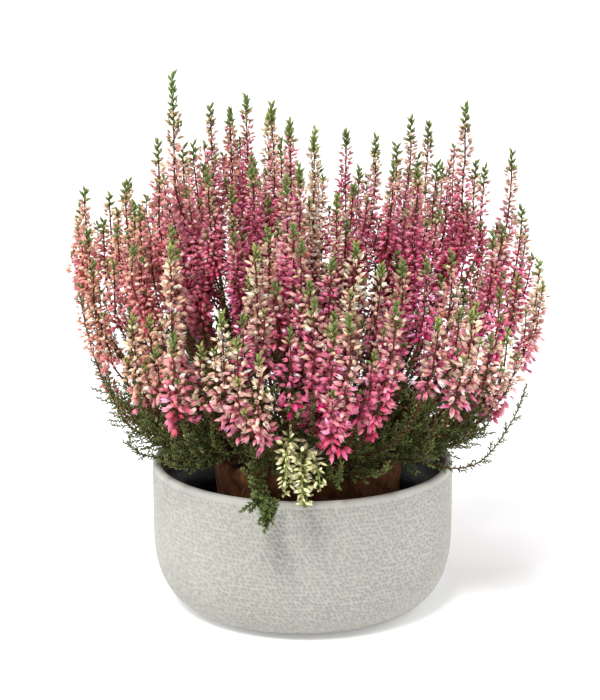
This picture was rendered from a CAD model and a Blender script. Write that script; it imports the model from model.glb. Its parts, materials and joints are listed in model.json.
"""Looks of the potted heather: florets, needle leaves, woody stems, peat, liner and dimpled bowl.

Units are metres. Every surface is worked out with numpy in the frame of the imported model.
A spike's centreline is read from its solid by slicing, so the flowers stay where the solids are.
"""
import json
import math

import bpy
import numpy as np
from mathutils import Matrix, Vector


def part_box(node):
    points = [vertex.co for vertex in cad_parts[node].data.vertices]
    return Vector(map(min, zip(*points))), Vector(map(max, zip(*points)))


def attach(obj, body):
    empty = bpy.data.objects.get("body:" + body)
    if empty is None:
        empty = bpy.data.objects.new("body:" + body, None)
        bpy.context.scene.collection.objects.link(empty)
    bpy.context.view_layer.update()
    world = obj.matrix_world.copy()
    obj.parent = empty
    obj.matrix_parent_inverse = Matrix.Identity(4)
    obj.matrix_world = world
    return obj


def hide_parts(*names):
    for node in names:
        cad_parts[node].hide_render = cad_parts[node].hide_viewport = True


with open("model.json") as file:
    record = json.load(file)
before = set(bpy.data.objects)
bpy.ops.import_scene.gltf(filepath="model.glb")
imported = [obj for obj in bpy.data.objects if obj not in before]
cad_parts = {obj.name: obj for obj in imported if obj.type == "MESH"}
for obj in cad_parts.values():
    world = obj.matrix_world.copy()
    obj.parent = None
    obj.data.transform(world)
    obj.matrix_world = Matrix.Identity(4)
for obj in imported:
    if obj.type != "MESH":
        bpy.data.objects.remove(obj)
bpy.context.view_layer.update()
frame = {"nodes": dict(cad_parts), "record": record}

MM = 0.001
RNG = np.random.default_rng(20)
GOLDEN = math.radians(137.508)

# Camera, fitted to the photograph, a little above the plant
CAMERA_PLACE = (-1.46 * MM, -957.3 * MM, 371.9 * MM)
CAMERA_PITCH = math.radians(13.38)
CAMERA_LENS = 90.36

# Light
SKY_STRENGTH = 0.34
SUNS = {                        # strength, height and compass turn in degrees, breadth in degrees
    "front": (2.4, 55, -24, 16),
    "left": (1.8, 24, -98, 60),
    "right": (1.75, 24, 98, 60),
}

# Bowl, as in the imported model
BOWL_RADIUS = 85.0 * MM
BOWL_HEIGHT = 82.4 * MM
BOWL_CURVE_TOP = 42.5 * MM
BOWL_FOOT = 57.5 * MM
BOWL_WALL = 4.9 * MM
BOWL_FLOOR = 6.0 * MM
BOWL_POWER = 2.3
BOWL_STEP = 0.8 * MM            # row spacing of the fine outer wall
BOWL_COLUMNS = 680
PITS_AROUND = 230
PIT_ROWS = 90                   # rows before the pits' uneven places repeat
PIT_SHIFT = 0.26                # largest shift of a pit off its cell's middle, in cells
PIT_PITCH = 2.2 * MM
PIT_REACH = 0.54                # radius of a pit, in cells
PIT_DEPTH = 0.95 * MM
PIT_SHADE = 0.32
PIT_TOP = 79.8                  # height where the pits end below the lip, in millimetres
LINER_GAP = 0.35 * MM
LINER_WALL = 0.8 * MM
LINER_TOP = 68.0 * MM
PEAT_TOP = 83.0 * MM
PEAT_LOW = 12.0 * MM            # height where the block's slanted side ends
PEAT_BASE_RADIUS = 46.0 * MM
PEAT_RIBS = 12
PEAT_RIB_DEPTH = 0.7 * MM
PEAT_FIBRES = 150
TRUNK_TOP = 92.0 * MM
TRUNK_RADIUS = 2.1 * MM

# Florets and needles
FLORET_LENGTH = 4.7 * MM
FLORET_WIDTH = 0.88 * MM
NEEDLE_LENGTH = 2.9 * MM
NEEDLE_WIDTH = 0.47 * MM
GREEN_TIP_SHARE = 0.11
SIDE_OFFSET = 12.5 * MM         # how far a solid's side spike stands from its main spike
SIDE_FOOT = 5.0 * MM

# Lean of the routes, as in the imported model
LEAN_CENTRE = 1.6
LEAN_EDGE = 3.3
EDGE_RADIUS = 125.0 * MM

# Dome that outlines the plant, in millimetres: half its width and depth, its top and its fall to the edge
DOME_ACROSS = 128.0
DOME_DEEP = 118.0
DOME_TOP = 268.0
DOME_FALL = 95.0
DOME_POWER = 2.2

# Counts of what stands between the main spikes; those past the second count fill the corners or the back
INNER_SHOOTS = 112
LOW_SHOOTS, EVEN_LOW_SHOOTS = 70, 46
DOME_SPIKES, EVEN_DOME_SPIKES = 72, 50

# Low shoots and arching shoots, repeated from the construction, in millimetres
SKIRT = [
    (-100, -40, 128), (-92, -62, 112), (-72, -72, 104), (-114, 2, 140),
    (-104, 38, 118), (-84, 72, 112), (-44, 98, 108), (2, 108, 112),
    (46, 98, 106), (84, 72, 114), (108, 30, 116), (98, -10, 118),
    (86, -52, 126), (44, -84, 104), (20, -92, 106), (68, -70, 112),
]
ARCHING = [
    [(48, -20, 88), (66, -44, 92), (80, -62, 94), (94, -66, 99), (106, -64, 113), (114, -61, 127),
     (118, -60, 140)],
    [(-44, -20, 92), (-76, -30, 104), (-98, -28, 119), (-110, -26, 136), (-117, -23, 158), (-120, -20, 178)],
    [(-40, -18, 90), (-62, -25, 97), (-76, -24, 97), (-90, -20, 92)],
    [(2, -46, 88), (-12, -66, 96), (-22, -82, 98), (-25, -94, 93), (-20, -99, 85), (-15, -98, 75)],
    [(8, -48, 88), (2, -72, 102), (0, -90, 106), (1, -99, 98), (1, -102, 86)],
]
# Side stems of the bud spray: turn in radians, reach in millimetres, and the stretch of the stem they follow
SPRAY = [
    (0.2, 8, 0.5, 0.98), (3.0, 8, 0.55, 0.94), (0.5, 19, 0.5, 0.86), (2.8, 17, 0.45, 0.8),
    (0.1, 29, 0.45, 0.68), (3.2, 24, 0.4, 0.66), (4.6, 8, 0.4, 0.9), (0.9, 13, 0.4, 0.92),
]


def tone(red, green, blue):
    """Linear colour from display values between 0 and 1."""
    shown = np.array([red, green, blue])
    return np.where(shown <= 0.04045, shown / 12.92, ((shown + 0.055) / 1.055) ** 2.4)


CREAM = tone(0.96, 0.86, 0.75)
BLUSH = tone(0.97, 0.75, 0.74)
PINK = tone(0.96, 0.54, 0.67)
ROSE = tone(0.88, 0.29, 0.44)
MAGENTA = tone(0.86, 0.14, 0.47)
DEEP = tone(0.60, 0.06, 0.27)
SALMON = tone(0.93, 0.68, 0.57)
DUSTY = tone(0.86, 0.50, 0.50)
UMBER = tone(0.50, 0.33, 0.27)
MAUVE = tone(0.66, 0.38, 0.48)
BUFF = tone(0.88, 0.80, 0.62)
YELLOW = tone(0.96, 0.94, 0.74)
LEAF_DARK = tone(0.26, 0.30, 0.14)
LEAF_MID = tone(0.46, 0.53, 0.29)
LEAF_PALE = tone(0.66, 0.70, 0.38)
BARK = tone(0.33, 0.21, 0.15)
BARK_RED = tone(0.36, 0.16, 0.12)
PEACH = tone(0.90, 0.66, 0.46)

# Colours of a spike's florets from its foot to its top, each stop a body and a sepal-tip colour
FAMILIES = {
    "rose": [(DEEP, ROSE), (ROSE, PINK), (ROSE, PINK), (DUSTY, BLUSH), (UMBER, BUFF)],
    "magenta": [(DEEP, MAGENTA), (MAGENTA, PINK), (MAGENTA, PINK), (ROSE, PINK), (MAUVE, BUFF)],
    "salmon": [(ROSE, PINK), (DUSTY, BLUSH), (DUSTY, SALMON), (UMBER, BLUSH), (UMBER, BUFF)],
    "cream": [(DEEP, PINK), (ROSE, BLUSH), (DUSTY, CREAM), (SALMON, CREAM), (BUFF, CREAM)],
    "bud": [
        (LEAF_PALE, CREAM), (LEAF_PALE, YELLOW), (LEAF_PALE, YELLOW), (LEAF_PALE, YELLOW), (LEAF_MID, YELLOW),
    ],
    "seed": [(UMBER, DUSTY), (UMBER, BUFF), (UMBER, SALMON), (LEAF_MID, BUFF), (LEAF_MID, BUFF)],
}
# Odds of an inner spike's family at the left, in the middle and at the right
INNER_ODDS = {
    "magenta": (0.1, 0.42, 0.26),
    "rose": (0.36, 0.42, 0.4),
    "salmon": (0.42, 0.1, 0.2),
    "cream": (0.12, 0.06, 0.14),
}


def unit(vectors):
    """Vectors at length one."""
    return vectors / (np.linalg.norm(vectors, axis=-1, keepdims=True) + 1e-12)


def mix(a, b, share):
    """Blend of two arrays by a share that gains a last axis."""
    share = np.asarray(share)[..., None]
    return a * (1.0 - share) + b * share


def noise(points, scale, seed=0.0):
    """Smooth value between -1 and 1: a product and sum of sines of the turned coordinates."""
    x, y, z = (points / scale).T
    first = np.sin(1.7 * x + 0.9 * y + seed) * np.cos(1.3 * y - 1.1 * z + 2.0 * seed)
    second = np.sin(2.9 * z + 1.9 * x - 0.7 * seed) * np.cos(2.3 * x - 2.7 * y + seed)
    return 0.6 * first + 0.4 * second


class Heap:
    """Vertices, triangles and colours that are gathered for one piece."""

    def __init__(self):
        self.vertices = []
        self.triangles = []
        self.colours = []
        self.count = 0

    def add(self, vertices, triangles, colours):
        self.vertices.append(vertices)
        self.triangles.append(triangles + self.count)
        self.colours.append(np.broadcast_to(colours, vertices.shape))
        self.count += len(vertices)

    def piece(self, name, look, slot, replaced=()):
        """Make the piece, with its colours in the point attribute that its material reads."""
        vertices = np.concatenate(self.vertices)
        triangles = np.concatenate(self.triangles)
        colours = np.concatenate(self.colours)
        mesh = bpy.data.meshes.new(name)
        mesh.vertices.add(len(vertices))
        mesh.vertices.foreach_set("co", vertices.astype(np.float32).ravel())
        mesh.loops.add(triangles.size)
        mesh.loops.foreach_set("vertex_index", triangles.astype(np.int32).ravel())
        mesh.polygons.add(len(triangles))
        mesh.polygons.foreach_set("loop_start", np.arange(0, triangles.size, 3, dtype=np.int32))
        mesh.polygons.foreach_set("use_smooth", np.ones(len(triangles), dtype=bool))
        tint = mesh.color_attributes.new("tint", "FLOAT_COLOR", "POINT")
        shown = np.column_stack([colours, np.ones(len(colours))])
        tint.data.foreach_set("color", shown.astype(np.float32).ravel())
        mesh.update()
        mesh.validate()
        return dress(bpy.data.objects.new(name, mesh), look, replaced)


def dress(piece, look, replaced=()):
    """Link a piece, give it its material, and tell the frame what it rides on and stands for."""
    bpy.context.scene.collection.objects.link(piece)
    piece.data.materials.append(look)
    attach(piece, "root")
    if replaced:
        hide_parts(*replaced)
    return piece


def grid_triangles(rows, columns):
    """Triangles of a grid whose rows are rings, with the last column joined to the first."""
    row, column = np.meshgrid(np.arange(rows - 1), np.arange(columns), indexing="ij")
    after = (column + 1) % columns
    a = row * columns + column
    b = row * columns + after
    c = (row + 1) * columns + after
    d = (row + 1) * columns + column
    return np.concatenate([np.stack([a, b, c], -1).reshape(-1, 3), np.stack([a, c, d], -1).reshape(-1, 3)])


def end_triangles(last, sides, apex):
    """Fans that close the first ring to a vertex and the last ring, which starts at last, to the next."""
    k = np.arange(sides)
    after = (k + 1) % sides
    foot = np.stack([after, k, np.full(sides, apex)], -1)
    tip = np.stack([last + k, last + after, np.full(sides, apex + 1)], -1)
    return np.vstack([foot, tip])


def node_points(name):
    """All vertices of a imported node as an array."""
    mesh = frame["nodes"][name].data
    flat = np.zeros(3 * len(mesh.vertices))
    mesh.vertices.foreach_get("co", flat)
    return flat.reshape(-1, 3)


def spike_lines(name):
    """Centrelines of a spike's solid from foot to tip: the main one, and the side one or None.

    The main line is followed down from the highest point as the centre of the points near it. Points that
    stand well off it belong to a side spike, which leaves at their mean direction and ends at their height.
    """
    points = np.unique(np.round(node_points(name), 6), axis=0)
    low = points[:, 2].min()
    tip = points[np.argmax(points[:, 2])]
    line, slope = [tip], np.zeros(2)
    for level in np.arange(tip[2] - 2.5 * MM, low + 4 * MM, -2.5 * MM):
        guess = line[-1][:2] + slope
        near = (np.abs(points[:, 2] - level) < 5 * MM) & (np.hypot(*(points[:, :2] - guess).T) < 7.8 * MM)
        centre = guess if near.sum() < 3 else 0.5 * guess + 0.5 * points[near][:, :2].mean(axis=0)
        slope = 0.6 * slope + 0.4 * (centre - line[-1][:2])
        line.append(np.array([*centre, level]))
    line.append(points[points[:, 2] < low + 1.5 * MM].mean(axis=0))
    line = np.array(line[::-1])
    line[1:-1] = 0.25 * line[:-2] + 0.5 * line[1:-1] + 0.25 * line[2:]
    middle = np.stack([np.interp(points[:, 2], line[:, 2], line[:, k]) for k in (0, 1)], -1)
    away = points[:, :2] - middle
    far = np.hypot(*away.T) > 8.6 * MM
    if far.sum() < 5:
        return line, None
    heading = unit(away[far].mean(axis=0))
    levels = np.linspace(low + SIDE_FOOT, points[far][:, 2].max(), 24)
    leave = SIDE_OFFSET * (1.0 - (1.0 - np.linspace(0.0, 1.0, 24)) ** 2.2)
    across = [np.interp(levels, line[:, 2], line[:, k]) + leave * heading[k] for k in (0, 1)]
    return line, np.stack([*across, levels], -1)


class Route:
    """A path with its arc length and a turning frame, read at any distance along it."""

    def __init__(self, points):
        self.points = np.asarray(points, dtype=float)
        steps = np.linalg.norm(np.diff(self.points, axis=0), axis=1)
        self.along = np.concatenate([[0.0], np.cumsum(steps)])
        self.length = self.along[-1]
        self.ahead = unit(np.gradient(self.points, axis=0))
        mean = self.ahead.mean(axis=0)
        spare = np.eye(3)[np.argmin(np.abs(mean))]
        self.side = unit(np.cross(self.ahead, spare))

    def read(self, distance):
        """Place, forward direction and two side directions at the given distances."""
        distance = np.clip(distance, 0.0, self.length)
        place = np.stack([np.interp(distance, self.along, self.points[:, k]) for k in range(3)], -1)
        ahead = unit(np.stack([np.interp(distance, self.along, self.ahead[:, k]) for k in range(3)], -1))
        side = np.stack([np.interp(distance, self.along, self.side[:, k]) for k in range(3)], -1)
        side = unit(side - ahead * (side * ahead).sum(-1, keepdims=True))
        return place, ahead, side, np.cross(ahead, side)


def tube(route, radii, sides, rings):
    """Circle of the given radius carried along the route, closed by a cone at each end."""
    distance = np.linspace(0.0, route.length, rings)
    radius = np.interp(np.linspace(0, 1, rings), np.linspace(0, 1, len(radii)), radii)
    place, ahead, side, over = route.read(distance)
    angle = np.linspace(0.0, 2.0 * math.pi, sides, endpoint=False)
    around = np.cos(angle)[None, :, None] * side[:, None] + np.sin(angle)[None, :, None] * over[:, None]
    wall = (place[:, None] + around * radius[:, None, None]).reshape(-1, 3)
    ends = np.stack([place[0] - ahead[0] * radius[0] * 0.5, place[-1] + ahead[-1] * radius[-1]])
    closing = end_triangles((rings - 1) * sides, sides, len(wall))
    return np.vstack([wall, ends]), np.vstack([grid_triangles(rings, sides), closing])


def floret_form():
    """Bud with four sepals: a point that swells to a belly, then four pointed lobes round a sunken mouth.

    The radius is a function of the share along the bud and of the angle, where the lobes are cos 4 angle.
    Returns places at unit length and width, the share along the bud, and triangles.
    """
    sides = 8
    angle = np.arange(sides) * 2.0 * math.pi / sides
    lobe = np.cos(4.0 * angle)
    wide, narrow = 1 + 0.1 * lobe, 0.72 + 0.12 * lobe
    belly = np.stack([wide * np.cos(angle), wide * np.sin(angle), 0.45 + 0 * angle], -1)
    rim = np.stack([narrow * np.cos(angle), narrow * np.sin(angle), 0.8 + 0.2 * lobe], -1)
    vertices = np.vstack([belly, rim, [[0, 0, 0.0]], [[0, 0, 0.5]]])
    triangles = np.vstack([grid_triangles(2, sides), end_triangles(sides, sides, 2 * sides)])
    share = vertices[:, 2].copy()
    share[-1] = -0.4
    return vertices, share, triangles


def needle_form():
    """Needle leaf: a three-sided spindle, widest at two fifths, blunt at the foot and pointed at the tip."""
    angle = np.arange(3) * 2.0 * math.pi / 3
    foot = np.stack([0.55 * np.cos(angle), 0.55 * np.sin(angle), 0.0 * angle], -1)
    belly = np.stack([np.cos(angle), np.sin(angle), 0.42 + 0.0 * angle], -1)
    vertices = np.vstack([foot, belly, [[0, 0, 1.0]]])
    k = np.arange(3)
    after = (k + 1) % 3
    tip = np.stack([3 + k, 3 + after, np.full(3, 6)], -1)
    triangles = np.vstack([grid_triangles(2, 3), tip, [[2, 1, 0]]])
    return vertices, vertices[:, 2].copy(), triangles


def bud_form():
    """Closed bud: a six-sided drop, widest below its middle."""
    angle = np.arange(6) * math.pi / 3
    rings = [
        np.stack([radius * np.cos(angle), radius * np.sin(angle), height + 0 * angle], -1)
        for radius, height in ((0.85, 0.25), (0.9, 0.62))
    ]
    vertices = np.vstack([*rings, [[0, 0, 0.0]], [[0, 0, 1.0]]])
    return vertices, vertices[:, 2].copy(), np.vstack([grid_triangles(2, 6), end_triangles(6, 6, 12)])


FLORET = floret_form()
BUD = bud_form()
NEEDLE = needle_form()


def scatter(form, place, direction, length, width, twist):
    """Copies of a form set at each place, pointing along each direction, as one array of vertices."""
    vertices, _, triangles = form
    helper = np.where(np.abs(direction[:, 2:3]) > 0.9, [[1.0, 0.0, 0.0]], [[0.0, 0.0, 1.0]])
    side = unit(np.cross(direction, helper))
    over = np.cross(direction, side)
    turned = side * np.cos(twist)[:, None] + over * np.sin(twist)[:, None]
    crossed = np.cross(direction, turned)
    points = (
        place[:, None]
        + vertices[None, :, 0:1] * turned[:, None] * width[:, None, None]
        + vertices[None, :, 1:2] * crossed[:, None] * width[:, None, None]
        + vertices[None, :, 2:3] * direction[:, None] * length[:, None, None]
    )
    offsets = (np.arange(len(place)) * len(vertices))[:, None, None]
    return points.reshape(-1, 3), (triangles[None] + offsets).reshape(-1, 3)


def stops(family, share, which):
    """Colour along a spike between the family's stops; which is 0 for the body and 1 for the sepal tips."""
    table = np.array([stop[which] for stop in FAMILIES[family]])
    knots = np.linspace(0.0, 1.0, len(table))
    return np.stack([np.interp(share, knots, table[:, k]) for k in range(3)], -1)


def buried(points):
    """How deep points lie inside the plant, 0 near its outline and 1 in its middle low down."""
    reach = np.hypot(points[:, 0] / DOME_ACROSS, (points[:, 1] + 5 * MM) / DOME_DEEP) / MM
    top = DOME_TOP - DOME_FALL * reach ** DOME_POWER
    return np.clip((0.76 - reach) / 0.3, 0, 1) * np.clip((top - 62.0 - points[:, 2] / MM) / 50.0, 0, 1)


def add_florets(
    heap, route, start, end, family, size=1.0, density=1.8, low_share=0.0, high_share=1.0, open_share=0.5,
):
    """Florets and buds strewn round the stem on uneven stalks: drooping low down, rising at the top.

    The stalks grow and shrink along the stem by a sum of sines, so the spike has thin and full places.
    low_share and high_share say which stretch of the family's colours the florets run through. Florets
    inside the plant are darker, and those at its left edge lean to peach.
    """
    stretch = end - start
    count = max(3, int(density * stretch / MM))
    order = np.arange(count)
    share = np.clip((order + RNG.uniform(0, 1, count)) / count, 0, 1) ** 1.1
    place, ahead, side, over = route.read(start + stretch * share)
    angle = order * GOLDEN + RNG.normal(0, 0.5, count)
    outward = np.cos(angle)[:, None] * side + np.sin(angle)[:, None] * over
    tilt = np.radians(-24.0 + 62.0 * share ** 1.1 + RNG.normal(0, 17.0, count))
    across = np.cross(ahead, outward) * RNG.normal(0, 0.3, count)[:, None]
    direction = unit(outward * np.cos(tilt)[:, None] + ahead * np.sin(tilt)[:, None] + across)
    taper = np.clip(1.16 - 0.32 * share ** 1.5, 0.3, 2.0) * size
    length = FLORET_LENGTH * taper * RNG.uniform(0.7, 1.15, count)
    width = FLORET_WIDTH * taper * RNG.uniform(0.75, 1.2, count)
    phase = RNG.uniform(0, 6.28, 2)
    swell = 1.0 + 0.3 * np.sin(stretch * share / (5.2 * MM) + phase[0])
    swell += 0.25 * np.sin(2.1 * angle + phase[1])
    stalk = MM * RNG.uniform(0.4, 3.2, count) * swell * np.clip(1.2 - 0.6 * share, 0.2, 2) * size
    foot = place + outward * stalk[:, None] + ahead * (0.5 * stalk * np.sin(tilt))[:, None]
    blend = np.clip(low_share + (high_share - low_share) * share + RNG.normal(0, 0.12, count), 0, 1)
    light = (np.exp(RNG.normal(0.05, 0.46, count)) * (1.0 - 0.72 * buried(place)))[:, None]
    body = stops(family, blend, 0) * light
    bleached = np.clip(RNG.normal(-0.1, 0.3, count), 0, 0.9)
    tip = mix(stops(family, blend, 1), CREAM, bleached) * (0.35 + 0.65 * light)
    faded = (RNG.uniform(0, 1, count) < 0.08)[:, None]
    body = np.where(faded, UMBER * light, body)
    warm = 0.6 * np.clip((-48 * MM - place[:, 0]) / (48 * MM), 0, 1) * RNG.uniform(0.3, 1.0, count)
    body, tip = mix(body, PEACH * light, warm), mix(tip, PEACH * light, 0.8 * warm)
    opened = RNG.uniform(0, 1, count) < open_share
    for shape, chosen in ((FLORET, opened), (BUD, ~opened)):
        along = shape[1]
        points, triangles = scatter(
            shape, foot[chosen], direction[chosen], length[chosen], width[chosen], 6.28 * light[chosen, 0],
        )
        ramp = (np.clip((along - 0.08) / 0.8, 0, 1) ** 0.8)[None, :, None]
        colours = body[chosen][:, None] * (1 - ramp) + tip[chosen][:, None] * ramp
        calyx = np.clip(1.0 - along / 0.1, 0, 1)[None, :, None] * (along >= 0)[None, :, None]
        colours = colours * (1 - 0.8 * calyx) + BARK_RED * 0.8 * calyx
        colours = np.where((along < 0)[None, :, None], (body[chosen] * 0.3)[:, None], colours)
        heap.add(points, triangles, np.clip(colours, 0, 1).reshape(-1, 3))


def add_needles(
    heap, route, start, end, pitch, length, tilt_low, tilt_high, dark, pale, taper=0.7, width=1.0,
):
    """Needles in four rows, pair over pair set crosswise, leaning forward from tilt_low to tilt_high."""
    count = max(4, int((end - start) / pitch))
    order = np.arange(count)
    share = (order + 0.5) / count
    place, ahead, side, over = route.read(start + (end - start) * share)
    angle = (order % 2) * math.pi + ((order // 2) % 2) * 0.5 * math.pi + 0.12 * order
    angle += RNG.normal(0, 0.18, count)
    outward = np.cos(angle)[:, None] * side + np.sin(angle)[:, None] * over
    tilt = np.radians(tilt_low + (tilt_high - tilt_low) * share + RNG.normal(0, 7.0, count))
    direction = unit(outward * np.cos(tilt)[:, None] + ahead * np.sin(tilt)[:, None])
    size = np.clip(1.0 - (1.0 - taper) * share, 0, 1) * RNG.uniform(0.8, 1.15, count)
    points, triangles = scatter(
        NEEDLE, place + outward * 0.2 * MM, direction, length * size,
        width * NEEDLE_WIDTH * (0.75 + 0.25 * size), RNG.uniform(0, 6.28, count),
    )
    along = NEEDLE[1][None, :, None]
    shade = mix(dark, pale, np.clip(0.2 + 0.5 * share ** 2 + RNG.normal(0, 0.22, count), 0, 1))
    heap.add(points, triangles, (shade[:, None] * (0.8 + 0.45 * along)).reshape(-1, 3))


def add_stalk(heap, route, start, end, radius_low, radius_high, low, high):
    """Stem between two distances, its colour blended from its foot to its top."""
    distance = np.linspace(start, end, max(4, int((end - start) / (6 * MM))))
    part = Route(route.read(distance)[0])
    rings = len(distance)
    points, triangles = tube(part, [radius_low, radius_high], 6, rings)
    share = np.concatenate([np.repeat(np.linspace(0, 1, rings), 6), [0.0, 1.0]])
    heap.add(points, triangles, mix(low, high, share))


def add_side_sprigs(
    heap, route, start, end, count, length, pitch, pale=LEAF_MID, needle=2.3, width=1.0, spread=0.62,
):
    """Short leafy side shoots that leave the stem at a slant and turn up. A larger spread is flatter."""
    for k in range(count):
        distance = start + (end - start) * (k + 0.5) / count
        place, ahead, side, over = (value[0] for value in route.read(np.array([distance])))
        angle = k * GOLDEN * 1.3 + RNG.uniform(0, 0.9)
        outward = math.cos(angle) * side + math.sin(angle) * over
        reach = length * RNG.uniform(0.65, 1.15) * (1.0 - 0.35 * k / max(count, 1))
        share = np.linspace(0, 1, 6)[:, None]
        line = place + outward * reach * spread * share
        line = line + ahead * reach * (1.02 - spread) * (share + share ** 2)
        sprig = Route(line)
        add_stalk(heap, sprig, 0.0, sprig.length, 0.26 * MM, 0.16 * MM, BARK_RED, pale)
        add_needles(
            heap, sprig, 0.08 * sprig.length, sprig.length, pitch * MM, needle * MM, 25, 66,
            LEAF_DARK, pale, 0.7, width,
        )


def beside(route, start, end, offset, angle):
    """Line that leaves a route sideways at one angle and then keeps level with it."""
    share = np.linspace(0.0, 1.0, 14)
    place, ahead, side, over = route.read(start + (end - start) * share)
    outward = math.cos(angle) * side + math.sin(angle) * over
    return place + outward * (offset * (1.0 - (1.0 - share) ** 2.0))[:, None]


def add_spike(florets, greens, line, family, size=1.0, density=1.8, sprigs=0, beside_count=0, bare=0.0):
    """One flower spike: its stem, florets, small leaves, a leafy tip and shorter spikes beside it.

    bare is the share of its length, from the foot, that has leaves only.
    """
    route = Route(line)
    green = 27 * MM if line[-1, 2] > 292 * MM else max(7.5 * MM, GREEN_TIP_SHARE * route.length)
    flower_end = route.length - 0.75 * green
    pale = LEAF_PALE if family == "cream" else LEAF_MID
    add_florets(florets, route, bare * route.length + 1.0 * MM, flower_end, family, size, density)
    if bare > 0.2:
        add_needles(greens, route, 0.0, bare * route.length, 0.9 * MM, 3.2 * MM, 20, 45, LEAF_DARK, LEAF_MID)
    add_stalk(greens, route, 0.0, flower_end, 0.55 * MM, 0.4 * MM, BARK_RED, BARK_RED)
    add_stalk(greens, route, flower_end, route.length - 0.5 * MM, 0.4 * MM, 0.25 * MM, BARK_RED, LEAF_MID)
    add_needles(
        greens, route, route.length - green, route.length, 0.9 * MM, 4.8 * MM, 28, 62,
        LEAF_MID, pale, 0.85, 2.1,
    )
    add_needles(greens, route, 0.0, flower_end, 4.0 * MM, 2.6 * MM, 20, 50, BARK_RED, LEAF_MID)
    if sprigs:
        low, high = route.length - 1.5 * green, route.length - 0.5 * green
        add_side_sprigs(greens, route, low, high, sprigs, 0.28 * green, 0.7)
    turn = RNG.uniform(0, 6.28)
    for k in range(beside_count):
        low, high = (bare + RNG.uniform(0.0, 0.12)) * flower_end, RNG.uniform(0.55, 0.92) * flower_end
        reach = RNG.uniform(4.0, 7.5) * MM
        near = Route(beside(route, low, high, reach, turn + k * 2.4))
        add_stalk(greens, near, 0.0, near.length, 0.4 * MM, 0.25 * MM, BARK_RED, BARK_RED)
        top = near.length - 2 * MM
        add_florets(florets, near, 0.1 * near.length, top, family, 0.92 * size, 0.85 * density, 0.0, 0.85)
        add_needles(
            greens, near, near.length - 4 * MM, near.length, 0.8 * MM, 3.4 * MM, 34, 68,
            LEAF_MID, pale, 0.8, 1.9,
        )


def lean_line(root, tip, count=40, slack=0.0):
    """Route from a root to a tip that spends its lean low down; near the plant's edge it does so sooner."""
    power = LEAN_CENTRE - slack + (LEAN_EDGE - LEAN_CENTRE) * (math.hypot(tip[0], tip[1]) / EDGE_RADIUS) ** 2
    share = np.linspace(0.0, 1.0, count)
    lean = 1.0 - (1.0 - share) ** power
    line = np.empty((count, 3))
    line[:, 0] = root[0] + lean * (tip[0] - root[0])
    line[:, 1] = root[1] + lean * (tip[1] - root[1])
    line[:, 2] = root[2] + share * (tip[2] - root[2])
    return line


def smooth_line(knots):
    """Catmull-Rom curve through the knots."""
    knots = np.array([knots[0], *knots, knots[-1]], dtype=float)
    a, b, c, d = (knots[k:len(knots) - 3 + k][:, None] for k in range(4))
    t = np.linspace(0, 1, 8, endpoint=False)[None, :, None]
    curve = 0.5 * (
        2 * b + (c - a) * t + (2 * a - 5 * b + 4 * c - d) * t ** 2 + (3 * b - a - 3 * c + d) * t ** 3
    )
    return np.vstack([curve.reshape(-1, 3), knots[-2:-1]])


def branch_line(root, foot, heading):
    """Hermite curve from the trunk to the foot of a spike, which it meets in the spike's own direction."""
    reach = np.linalg.norm(foot - root)
    outward = unit(np.array([foot[0] - root[0], foot[1] - root[1], 0.45 * (foot[2] - root[2])]))
    t = np.linspace(0, 1, 30)[:, None]
    leave = outward * reach * 0.95
    arrive = heading * reach * 0.95
    return (
        (2 * t ** 3 - 3 * t ** 2 + 1) * root + (t ** 3 - 2 * t ** 2 + t) * leave
        + (3 * t ** 2 - 2 * t ** 3) * foot + (t ** 3 - t ** 2) * arrive
    )


def node_tree(name):
    """New material, its links, its shader and a function that adds a node and sets its sockets."""
    look = bpy.data.materials.new(name)
    look.use_nodes = True
    nodes, links = look.node_tree.nodes, look.node_tree.links

    def add(kind, sockets=None, **values):
        made = nodes.new(kind)
        for key, value in values.items():
            setattr(made, key, value)
        for key, value in (sockets or {}).items():
            made.inputs[key].default_value = value
        return made

    return look, links, nodes["Principled BSDF"], add


def tinted_look(name, roughness, patch, strength, subsurface=0.0):
    """Finish of petals, leaves, bark and peat: the piece's tint, clouded by fine noise, with a grain bump."""
    look, links, shader, add = node_tree(name)
    tint = add("ShaderNodeVertexColor", layer_name="tint")
    place = add("ShaderNodeTexCoord")
    cloud = add("ShaderNodeTexNoise", {"Scale": 1.0 / patch, "Detail": 2.0})
    span = {"From Min": 0.3, "From Max": 0.7, "To Min": 0.82, "To Max": 1.15}
    ramp = add("ShaderNodeMapRange", span)
    shade = add("ShaderNodeVectorMath", operation="SCALE")
    links.new(place.outputs["Object"], cloud.inputs["Vector"])
    links.new(cloud.outputs["Fac"], ramp.inputs["Value"])
    links.new(tint.outputs["Color"], shade.inputs[0])
    links.new(ramp.outputs["Result"], shade.inputs["Scale"])
    links.new(shade.outputs["Vector"], shader.inputs["Base Color"])
    bump = add("ShaderNodeBump", {"Strength": strength, "Distance": 0.2 * MM})
    links.new(cloud.outputs["Fac"], bump.inputs["Height"])
    links.new(bump.outputs["Normal"], shader.inputs["Normal"])
    shader.inputs["Roughness"].default_value = roughness
    shader.inputs["Specular IOR Level"].default_value = 0.22
    shader.inputs["Subsurface Weight"].default_value = subsurface
    shader.inputs["Subsurface Radius"].default_value = (0.8 * MM, 0.4 * MM, 0.3 * MM)
    return look


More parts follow.
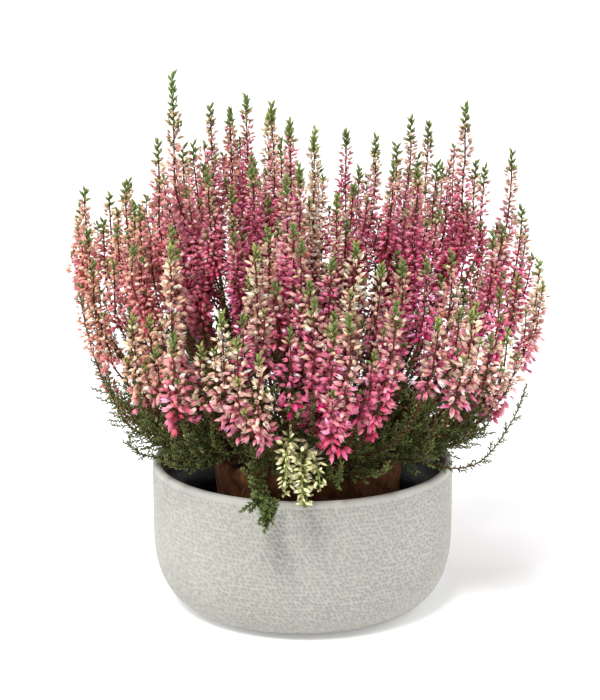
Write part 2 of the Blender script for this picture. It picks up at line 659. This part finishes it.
def ceramic_look():
    """Matte white glaze: the pits' shade from the piece's tint, faint grey clouds and a fine grain bump."""
    look, links, shader, add = node_tree("dimpled_glaze")
    place = add("ShaderNodeTexCoord")
    cloud = add("ShaderNodeTexNoise", {"Scale": 28.0})
    links.new(place.outputs["Object"], cloud.inputs["Vector"])
    glazes = {"A": (*tone(0.67, 0.665, 0.635), 1.0), "B": (*tone(0.72, 0.715, 0.685), 1.0)}
    colour = add("ShaderNodeMix", glazes, data_type="RGBA")
    links.new(cloud.outputs["Fac"], colour.inputs["Factor"])
    tint = add("ShaderNodeVertexColor", layer_name="tint")
    shade = add("ShaderNodeVectorMath", operation="MULTIPLY")
    links.new(colour.outputs["Result"], shade.inputs[0])
    links.new(tint.outputs["Color"], shade.inputs[1])
    links.new(shade.outputs["Vector"], shader.inputs["Base Color"])
    grain = add("ShaderNodeTexNoise", {"Scale": 900.0})
    links.new(place.outputs["Object"], grain.inputs["Vector"])
    bump = add("ShaderNodeBump", {"Strength": 0.5, "Distance": 0.12 * MM})
    links.new(grain.outputs["Fac"], bump.inputs["Height"])
    links.new(bump.outputs["Normal"], shader.inputs["Normal"])
    shader.inputs["Roughness"].default_value = 0.5
    return look


def liner_look():
    """Thin black film with a soft sheen and shallow wrinkles."""
    look, links, shader, add = node_tree("black_film")
    place = add("ShaderNodeTexCoord")
    wrinkle = add("ShaderNodeTexNoise", {"Scale": 60.0, "Distortion": 1.5})
    links.new(place.outputs["Object"], wrinkle.inputs["Vector"])
    bump = add("ShaderNodeBump", {"Strength": 0.6, "Distance": 1.5 * MM})
    links.new(wrinkle.outputs["Fac"], bump.inputs["Height"])
    links.new(bump.outputs["Normal"], shader.inputs["Normal"])
    blacks = {"A": (*tone(0.05, 0.05, 0.05), 1.0), "B": (*tone(0.09, 0.09, 0.09), 1.0)}
    colour = add("ShaderNodeMix", blacks, data_type="RGBA")
    links.new(wrinkle.outputs["Fac"], colour.inputs["Factor"])
    links.new(colour.outputs["Result"], shader.inputs["Base Color"])
    shader.inputs["Roughness"].default_value = 0.42
    return look


def bowl_wall(inset, floor, count):
    """Superellipse quarter of the wall, top to bottom, set in from the outside by inset."""
    angle = np.linspace(0.0, 0.5 * math.pi, count)
    radius = BOWL_RADIUS - inset
    foot = BOWL_FOOT - 0.6 * inset
    across = foot + (radius - foot) * np.cos(angle).clip(0) ** (2.0 / BOWL_POWER)
    down = BOWL_CURVE_TOP - (BOWL_CURVE_TOP - floor) * np.sin(angle) ** (2.0 / BOWL_POWER)
    return np.stack([across, down], -1)


def turned(profile, columns, wobble=None):
    """Profile of radius and height turned about Z, with the two ends closed on the axis."""
    angle = np.linspace(0.0, 2.0 * math.pi, columns, endpoint=False)
    radius, height = profile[:, 0:1], profile[:, 1:2]
    wall = np.stack([radius * np.cos(angle), radius * np.sin(angle), height + 0.0 * angle], -1).reshape(-1, 3)
    if wobble is not None:
        wall = wobble(wall)
    ends = np.array([[0, 0, profile[0, 1]], [0, 0, profile[-1, 1]]])
    closing = end_triangles((len(profile) - 1) * columns, columns, len(wall))
    return np.vstack([wall, ends]), np.vstack([grid_triangles(len(profile), columns), closing])


def evenly(profile, step):
    """Profile read at equal distances along it."""
    along = np.concatenate([[0.0], np.cumsum(np.linalg.norm(np.diff(profile, axis=0), axis=1))])
    distance = np.linspace(0.0, along[-1], int(along[-1] / step) + 1)
    return np.stack([np.interp(distance, along, profile[:, k]) for k in (0, 1)], -1)


def dimples(around, down):
    """Depth of the glaze's dimples between 0 and 1.

    The wall is a sheet of cells in staggered rows, and each cell has one round pit near its middle. The
    depth is a smooth step of the distance to the nearest pit. around is a share of the bowl's round and
    down a distance along its wall, so the rows close round the bowl.
    """
    shift = np.random.default_rng(7).uniform(-PIT_SHIFT, PIT_SHIFT, (PIT_ROWS, PITS_AROUND, 3))
    u, v = around * PITS_AROUND, down / PIT_PITCH
    nearest = np.full(u.shape, 9.0)
    for below in (-1, 0, 1):
        row = np.floor(v).astype(int) + below
        stagger = 0.5 * (row % 2)
        for beyond in (-1, 0, 1):
            cell = np.floor(u - stagger).astype(int) + beyond
            jitter = shift[row % PIT_ROWS, cell % PITS_AROUND]
            across = u - (cell + 0.5 + stagger + jitter[..., 0])
            along = v - (row + 0.5 + jitter[..., 1])
            nearest = np.minimum(nearest, np.hypot(across, along) * (1.0 + jitter[..., 2]))
    near = np.clip(1.0 - nearest / PIT_REACH, 0, 1)
    return near * near * (3.0 - 2.0 * near)


def make_bowl(look):
    """Fine bowl: floor, inner wall, rounded lip, outer wall and base as one turned profile.

    Dimples press the outer wall in along its normal and shade it, from just below the lip to the base.
    """
    lip = 0.5 * BOWL_WALL
    angle = np.linspace(math.pi, 0.0, 9)
    rounded = np.stack([BOWL_RADIUS - lip + lip * np.cos(angle), BOWL_HEIGHT - lip + lip * np.sin(angle)], -1)
    inner = bowl_wall(BOWL_WALL, BOWL_FLOOR, 9)[::-1]
    straight = np.array([[BOWL_RADIUS, BOWL_HEIGHT - lip], [BOWL_RADIUS, BOWL_CURVE_TOP]])
    outer = evenly(np.vstack([straight, bowl_wall(0.0, 0.0, 90)[1:]]), BOWL_STEP)
    foot = np.array([[BOWL_FOOT - 0.004, 0.0], [0.5 * BOWL_FOOT, 0.0]])
    floor = np.array([[0.5 * BOWL_FOOT, BOWL_FLOOR]])
    profile = np.vstack([floor, inner, rounded, outer[1:], foot])
    first = len(floor) + len(inner) + len(rounded)
    last = first + len(outer) - 1
    dimpled = slice(first * BOWL_COLUMNS, last * BOWL_COLUMNS)
    points, triangles = turned(profile, BOWL_COLUMNS)
    wall = points[dimpled].reshape(-1, BOWL_COLUMNS, 3)
    ahead = unit(np.gradient(profile, axis=0))[first:last]
    share = np.linspace(0.0, 1.0, BOWL_COLUMNS, endpoint=False)[None, :] + 0.0 * wall[..., 0]
    down = (np.arange(len(wall)) * BOWL_STEP)[:, None] + 0.0 * share
    height = wall[..., 2] / MM
    depth = dimples(share, down) * np.clip((PIT_TOP - height) / 1.6, 0, 1) * np.clip(height / 1.5, 0, 1)
    turn = 2.0 * math.pi * share
    rise, out = ahead[:, 1:], -ahead[:, :1]
    inward = np.stack([rise * np.cos(turn), rise * np.sin(turn), out + 0.0 * turn], -1)
    wall += inward * (PIT_DEPTH * depth)[..., None]
    shade = np.ones((len(points), 1))
    shade[dimpled, 0] = (1.01 - PIT_SHADE * depth).ravel()
    heap = Heap()
    heap.add(points, triangles, np.repeat(shade, 3, axis=1))
    return heap.piece("bowl_glazed", look, "ceramic", ("pot",))


def make_liner(look):
    """Film cup with a slightly uneven edge, inside the bowl."""
    outside = BOWL_WALL + LINER_GAP
    inside = outside + LINER_WALL
    low = BOWL_FLOOR + LINER_GAP
    outer = bowl_wall(outside, low, 12)
    inner = bowl_wall(inside, low + LINER_WALL, 12)[::-1]
    edge = np.array([[BOWL_RADIUS - inside, LINER_TOP], [BOWL_RADIUS - outside, LINER_TOP]])
    profile = np.vstack([[[0.02, low + LINER_WALL]], inner, edge, outer, [[0.02, low]]])

    def crease(wall):
        angle = np.arctan2(wall[:, 1], wall[:, 0])
        lift = np.clip((wall[:, 2] - 50 * MM) / (18 * MM), 0, 1)
        wall[:, 2] += lift * 1.2 * MM * np.sin(5 * angle + 1.0) * np.sin(3 * angle)
        return wall

    heap = Heap()
    points, triangles = turned(profile, 120, crease)
    heap.add(points, triangles, tone(0.1, 0.1, 0.1))
    return heap.piece("liner_film", look, "liner", ("liner",))


def make_peat(look):
    """Peat block: turned profile with upright ribs, crumb noise and tangled root fibres on its side."""
    low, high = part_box("root_ball")
    centre = 0.5 * (low[0] + high[0])
    top_radius = 0.5 * (high[0] - low[0]) - 1.0 * MM
    share = np.linspace(0, 1, 26)
    radius = top_radius + (PEAT_BASE_RADIUS - top_radius) * share
    side = np.stack([radius, PEAT_TOP - 3 * MM - share * (PEAT_TOP - PEAT_LOW)], -1)
    lid = np.stack([np.linspace(4 * MM, top_radius - 3 * MM, 22), np.full(22, PEAT_TOP)], -1)
    profile = np.vstack([lid, side, [[PEAT_BASE_RADIUS - 4 * MM, low[2]], [10 * MM, low[2]]]])

    def crumble(wall):
        radius = np.hypot(wall[:, 0], wall[:, 1])
        angle = np.arctan2(wall[:, 1], wall[:, 0])
        rough = noise(wall, 2.2 * MM) + 0.6 * noise(wall, 1.1 * MM, 2.0)
        upper = wall[:, 2] > PEAT_TOP - 1 * MM
        swell = PEAT_RIB_DEPTH * np.cos(PEAT_RIBS * angle) + 0.35 * MM * rough
        swell = np.where(upper | (wall[:, 2] < low[2] + 1 * MM), 0.0, swell)
        wall[:, :2] *= (1.0 + swell / radius)[:, None]
        wall[:, 2] += np.where(upper, 0.8 * MM * rough, 0.0)
        return wall

    heap = Heap()
    points, triangles = turned(profile, 150, crumble)
    points[:, 0] += centre
    cloud = np.clip(0.5 + 0.6 * noise(points, 3.0 * MM, 1.0), 0, 1)
    heap.add(points, triangles[:, ::-1], mix(tone(0.22, 0.12, 0.08), tone(0.52, 0.33, 0.20), cloud))
    fibres(heap, centre, top_radius)
    return heap.piece("peat_crumb", look, "peat", ("root_ball",))


def fibres(heap, centre, top_radius):
    """Fine roots that wander down and round the block just over its surface."""
    for k in range(PEAT_FIBRES):
        start = RNG.uniform(0, 2 * math.pi)
        share = np.linspace(0, 1, 12)
        angle = start + RNG.normal(0, 0.25) * share + 0.05 * np.sin(5 * share + k)
        height = PEAT_TOP - 4 * MM - RNG.uniform(0, 30 * MM) - share * RNG.uniform(10, 36) * MM
        widening = top_radius - PEAT_BASE_RADIUS
        radius = PEAT_BASE_RADIUS + widening * (height - PEAT_LOW) / (PEAT_TOP - PEAT_LOW)
        radius = radius + PEAT_RIB_DEPTH * np.cos(PEAT_RIBS * angle) + 0.35 * MM
        line = np.stack([centre + radius * np.cos(angle), radius * np.sin(angle), height], -1)
        points, triangles = tube(Route(line), [0.28 * MM, 0.14 * MM], 4, 12)
        heap.add(points, triangles, mix(tone(0.30, 0.20, 0.12), tone(0.55, 0.42, 0.28), RNG.uniform(0, 1)))


def trunk_roots():
    """Foot of each stem in its hole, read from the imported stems."""
    roots = {}
    for name in sorted(frame["nodes"]):
        if name.startswith("stem_"):
            points = node_points(name)
            low = points[points[:, 2] < points[:, 2].min() + 1 * MM]
            roots[name] = np.array([low[:, 0].mean(), low[:, 1].mean(), low[:, 2].min()])
    return roots


def add_trunk(heap, root):
    """Short woody trunk from the hole to the height where the branches part."""
    top = np.array([root[0], root[1], TRUNK_TOP])
    line = np.linspace(root, top, 6)
    points, triangles = tube(Route(line), [TRUNK_RADIUS, TRUNK_RADIUS, 2.0 * MM, 0.9 * MM], 8, 8)
    heap.add(points, triangles, BARK)


def add_branch(heap, line, leafy_from):
    """Woody branch whose upper part is set with needles and short leafy twigs."""
    route = Route(line)
    start = leafy_from * route.length
    add_stalk(heap, route, 0.0, route.length, 1.0 * MM, 0.55 * MM, BARK, BARK_RED)
    add_needles(heap, route, start, route.length, 0.8 * MM, 3.0 * MM, 20, 45, LEAF_DARK, LEAF_MID)
    add_side_sprigs(heap, route, start, route.length, int(route.length / (14 * MM)), 10 * MM, 0.8)


def add_shoot(heap, line, leafy_from=0.3, pitch=0.5, pale=0.0, length=1.0, sprigs=0, reach=11.0):
    """Leafy shoot with needles and side sprigs from part of the way up to its tip."""
    route = Route(line)
    add_stalk(heap, route, 0.0, route.length, 0.6 * MM, 0.25 * MM, BARK, BARK_RED)
    high = mix(LEAF_MID, LEAF_PALE, pale)
    add_needles(
        heap, route, leafy_from * route.length, route.length, pitch * MM,
        NEEDLE_LENGTH * length, 22, 60, LEAF_DARK, high, 0.75,
    )
    if sprigs:
        add_side_sprigs(heap, route, leafy_from * route.length, 0.97 * route.length, sprigs, reach * MM, 0.7)


def nearest_root(roots, tip):
    """Name of the stem whose foot lies nearest under a tip."""
    def reach(name):
        return math.hypot(0.40 * tip[0] - roots[name][0], 0.36 * tip[1] - roots[name][1])

    return min(roots, key=reach)


def crown(root):
    """Point inside the trunk from which its branches leave."""
    return np.array([root[0], root[1], TRUNK_TOP - 5 * MM])


def dome_height(x, y):
    """Height of the plant's outline over a place: high in the middle and back, low at the rim."""
    reach = math.hypot(x / DOME_ACROSS, (y + 5.0) / DOME_DEEP)
    return DOME_TOP - DOME_FALL * reach ** DOME_POWER + 10.0 * math.sin(0.05 * x + 1.0)


def front_share(y):
    """How far forward a place lies, 0 from the middle back and 1 at the front edge."""
    return float(np.clip((-30 * MM - y) / (50 * MM), 0, 1))


def add_bud_spray(buds, greens, route, start):
    """Hanging stem with pale closed buds from the given distance to its end."""
    add_stalk(greens, route, start, route.length, 0.4 * MM, 0.25 * MM, BARK, LEAF_PALE)
    add_florets(buds, route, start, route.length, "bud", 1.0, 0.75, 0.0, 1.0, 0.05)
    add_needles(greens, route, start, route.length, 1.4 * MM, 2.6 * MM, 20, 50, LEAF_DARK, LEAF_MID)


def make_plants(petal, leaf, roots):
    """Spikes over their solids, with the branches and shoots that carry them."""
    stems = {name: Heap() for name in roots}
    bud_spray = Heap()
    lines = []
    for name, root in roots.items():
        add_trunk(stems[name], root)
    slots = {row["node"]: row["material_slot"] for row in frame["record"]["subparts"]}
    for name in sorted(n for n in frame["nodes"] if n.startswith("spike_")):
        line, side = spike_lines(name)
        lines.append(line)
        family = slots[name]
        florets, greens = Heap(), Heap()
        front = front_share(line[-1, 1])
        size, density = 0.92 + 0.34 * front, 2.1 - 1.1 * front
        tall = 4 if line[-1, 2] > 262 * MM else (2 if RNG.uniform() < 0.4 else 0)
        edge = math.hypot(*line[0, :2]) > 68 * MM
        add_spike(
            florets, greens, line, family, size, density, tall, 2 if front > 0.5 else 3, 0.1 if edge else 0.0,
        )
        if side is not None:
            add_spike(florets, greens, side, family, 0.95 * size, 0.9 * density, 0, 1)
        owner = nearest_root(roots, line[-1])
        heading = unit(line[2] - line[0])
        branch = branch_line(crown(roots[owner]), line[0] - heading * 0.3 * MM, heading)
        add_branch(stems[owner], branch, 0.45)
        lower = Route(branch)
        kind, width, last = ("seed", 0.75, 1.0) if edge else (family, 0.9 * size, 0.3)
        add_florets(florets, lower, 0.68 * lower.length, lower.length, kind, width, 0.45, 0.0, last, 0.2)
        number = name.split("_")[1]
        florets.piece(f"florets_{number}", petal, family, (name,))
        greens.piece(f"leafy_stalk_{number}", leaf, "foliage")
    for x, y, z in SKIRT:
        tip = np.array([x, y, z]) * MM
        owner = nearest_root(roots, tip)
        reach = 8.0 if -96 < x < -60 and y < -50 else 13.0
        add_shoot(stems[owner], lean_line(crown(roots[owner]), tip), 0.34, 0.5, 0.2, 1.1, 9, reach)
    for knots in ARCHING:
        owner = nearest_root(roots, np.array(knots[-1]) * MM)
        line = smooth_line([crown(roots[owner]), *(np.array(knots) * MM)])
        add_shoot(stems[owner], line, 0.34, 1.0, 0.3, 1.05, 12, 7.0)
        if knots is ARCHING[-1]:
            route = Route(line)
            add_bud_spray(bud_spray, stems[owner], route, 0.5 * route.length)
            for turn, reach, low, high in SPRAY:
                near = beside(route, low * route.length, high * route.length, reach * MM, turn)
                add_bud_spray(bud_spray, stems[owner], Route(near), 1.0 * MM)
        if knots is ARCHING[-2]:
            route, stem = Route(line), stems[owner]
            end = route.length - 4 * MM
            add_side_sprigs(stem, route, 0.6 * route.length, end, 24, 14 * MM, 0.7, LEAF_MID, 3.0, 1.6, 0.9)
            add_side_sprigs(stem, route, end - 14 * MM, end, 18, 17 * MM, 0.7, LEAF_MID, 3.2, 1.7, 0.95)
    bud_spray.piece("bud_spray", petal, "cream")
    for name, heap in stems.items():
        heap.piece(f"leafy_{name}", leaf, "foliage", (name,))
    return lines


def lines_between(lines):
    """Centrelines half way between neighbouring spikes, each a little shorter than the lower of the two."""
    tips = np.array([line[-1] for line in lines])
    pairs = [
        (np.linalg.norm((tips[i] - tips[j])[:2]), i, j) for i in range(len(lines)) for j in range(i)
    ]
    used = np.zeros(len(lines), dtype=int)
    made = []
    for apart, i, j in sorted(pairs):
        if apart < 15 * MM or apart > 44 * MM or max(used[i], used[j]) > 2:
            continue
        used[[i, j]] += 1
        share = np.linspace(0.0, RNG.uniform(0.72, 0.98), 24)
        first, second = Route(lines[i]), Route(lines[j])
        weight = RNG.uniform(0.38, 0.62)
        near, far = first.read(share * first.length)[0], second.read(share * second.length)[0]
        made.append(weight * near + (1 - weight) * far)
    return made


def family_at(x):
    """Colour family of an inner spike, drawn by odds that change from left to right."""
    share = float(np.clip((x + 110 * MM) / (220 * MM), 0, 1))
    odds = np.array([np.interp(share, (0, 0.5, 1), row) for row in INNER_ODDS.values()])
    return list(INNER_ODDS)[int(RNG.choice(len(odds), p=odds / odds.sum()))]


def make_inner_shoots(leaf, roots):
    """Green shoots that fill the dome from below, spread evenly by the golden angle."""
    shoots = Heap()
    for k in range(INNER_SHOOTS):
        angle = k * GOLDEN
        reach = math.sqrt((k + 0.5) / INNER_SHOOTS)
        x, y = 104.0 * reach * math.cos(angle), 98.0 * reach * math.sin(angle)
        z = 100.0 + (dome_height(x, y) - 160.0) * RNG.uniform(0.1, 0.75)
        tip = np.array([x, y, z]) * MM
        owner = nearest_root(roots, tip)
        add_shoot(shoots, lean_line(crown(roots[owner]), tip), 0.4, 0.75, RNG.uniform(0, 0.4), 1.1, 4, 12.0)
    shoots.piece("inner_shoots", leaf, "foliage")


def make_low_shoots(leaf, roots):
    """Green shoots round the bowl's edge, the last ones at its front corners, none over the open liner."""
    skirt = Heap()
    for k in range(LOW_SHOOTS):
        at_corner = k >= EVEN_LOW_SHOOTS
        angle = k * GOLDEN * 1.01 + 0.3
        reach = 66.0 + 38.0 * ((k * 0.618) % 1.0)
        if at_corner:
            angle = math.radians((216.0 if k % 2 else 324.0) + RNG.uniform(-26.0, 26.0))
            reach = RNG.uniform(94.0, 116.0)
        x, y = reach * math.cos(angle), 0.94 * reach * math.sin(angle)
        z = 92.0 + 0.32 * (reach - 60.0) + RNG.uniform(0.0, 24.0) + (16.0 if at_corner else 0.0)
        if -92 < x < -40 and y < -30 and z < 122:
            continue
        tip = np.array([x, y, z]) * MM
        owner = nearest_root(roots, tip)
        add_shoot(skirt, lean_line(crown(roots[owner]), tip), 0.42, 0.7, RNG.uniform(0, 0.25), 1.2, 9, 13.0)
    skirt.piece("low_shoots", leaf, "foliage")


def make_inner_spikes(petal, leaf, roots, lines):
    """Short spikes between the tall ones, then those of the dome, the last ones round the back."""
    greens, inner_greens = Heap(), Heap()
    florets = {family: Heap() for family in INNER_ODDS}
    for line in lines_between(lines):
        front = front_share(line[-1, 1])
        family = family_at(line[-1, 0])
        add_spike(florets[family], greens, line, family, 0.92 + 0.3 * front, 1.8 - 0.8 * front, 0, 1, 0.38)
        heading = unit(line[2] - line[0])
        add_branch(greens, branch_line(crown(roots[nearest_root(roots, line[-1])]), line[0], heading), 0.6)
    for k in range(DOME_SPIKES):
        at_back = k >= EVEN_DOME_SPIKES
        angle = k * GOLDEN + 1.1
        reach = math.sqrt((k + 0.5) / EVEN_DOME_SPIKES)
        if at_back:
            angle = math.radians(RNG.uniform(0.0, 180.0))
            reach = RNG.uniform(0.8, 1.0)
        x, y = 114.0 * reach * math.cos(angle), 100.0 * reach * math.sin(angle) - 4.0
        z = dome_height(x, y) - RNG.uniform(16.0, 84.0) + (10.0 if at_back else 0.0)
        if y < -48.0:
            continue
        tip = np.array([x, y, z]) * MM
        root = crown(roots[nearest_root(roots, tip)])
        route = Route(lean_line(root, tip, 60, 0.2))
        span = RNG.uniform(54, 86) * MM
        upper = route.read(np.linspace(route.length - span, route.length, 24))[0]
        family = family_at(tip[0])
        front = front_share(tip[1])
        size, density = 0.92 + 0.25 * front, 1.7 - 0.7 * front
        add_spike(florets[family], inner_greens, upper, family, size, density, 0, 1, 0.25)
        lower = route.read(np.linspace(0.0, route.length - span, 24))[0]
        add_branch(inner_greens, lower, 0.6)
    for family, heap in florets.items():
        heap.piece(f"inner_florets_{family}", petal, family)
    greens.piece("inner_stalks", leaf, "foliage")
    inner_greens.piece("dome_stalks", leaf, "foliage")


def make_stage():
    """White floor that runs past the frame, even grey surroundings and three broad soft suns."""
    floor_mesh = bpy.data.meshes.new("floor")
    floor_mesh.from_pydata([(-60, -60, 0), (60, -60, 0), (60, 60, 0), (-60, 60, 0)], [], [(0, 1, 2, 3)])
    floor = bpy.data.objects.new("floor", floor_mesh)
    bpy.context.scene.collection.objects.link(floor)
    look, _, shader, _ = node_tree("white_floor")
    shader.inputs["Base Color"].default_value = (0.9, 0.9, 0.9, 1.0)
    shader.inputs["Roughness"].default_value = 0.95
    shader.inputs["Emission Color"].default_value = (1.0, 1.0, 1.0, 1.0)
    shader.inputs["Emission Strength"].default_value = 0.22
    floor_mesh.materials.append(look)
    world = bpy.data.worlds.new("soft_grey")
    world.use_nodes = True
    sky = world.node_tree.nodes["Background"]
    sky.inputs["Color"].default_value = (1.0, 1.0, 1.0, 1.0)
    sky.inputs["Strength"].default_value = SKY_STRENGTH
    bpy.context.scene.world = world
    for name, (strength, height, turn, breadth) in SUNS.items():
        lamp = bpy.data.lights.new(name, "SUN")
        lamp.energy = strength
        lamp.angle = math.radians(breadth)
        holder = bpy.data.objects.new(name, lamp)
        holder.rotation_euler = (math.radians(90 - height), 0.0, math.radians(turn))
        bpy.context.scene.collection.objects.link(holder)


def make_camera():
    """Camera at the photograph's angle and distance."""
    data = bpy.data.cameras.new("camera")
    data.lens = CAMERA_LENS
    data.sensor_width = 36.0
    data.clip_end = 300.0
    camera = bpy.data.objects.new("camera", data)
    camera.location = CAMERA_PLACE
    camera.rotation_euler = (0.5 * math.pi - CAMERA_PITCH, 0.0, 0.0)
    bpy.context.scene.collection.objects.link(camera)
    bpy.context.scene.camera = camera


def main():
    make_camera()
    make_stage()
    bpy.context.scene.view_settings.view_transform = "Standard"
    petal = tinted_look("sepals", 0.65, 1.6 * MM, 0.15)
    leaf = tinted_look("needles_and_bark", 0.6, 1.2 * MM, 0.25)
    soil = tinted_look("peat_crumbs", 0.95, 0.8 * MM, 0.8)
    make_bowl(ceramic_look())
    make_liner(liner_look())
    make_peat(soil)
    roots = trunk_roots()
    lines = make_plants(petal, leaf, roots)
    make_inner_shoots(leaf, roots)
    make_low_shoots(leaf, roots)
    make_inner_spikes(petal, leaf, roots, lines)


main()
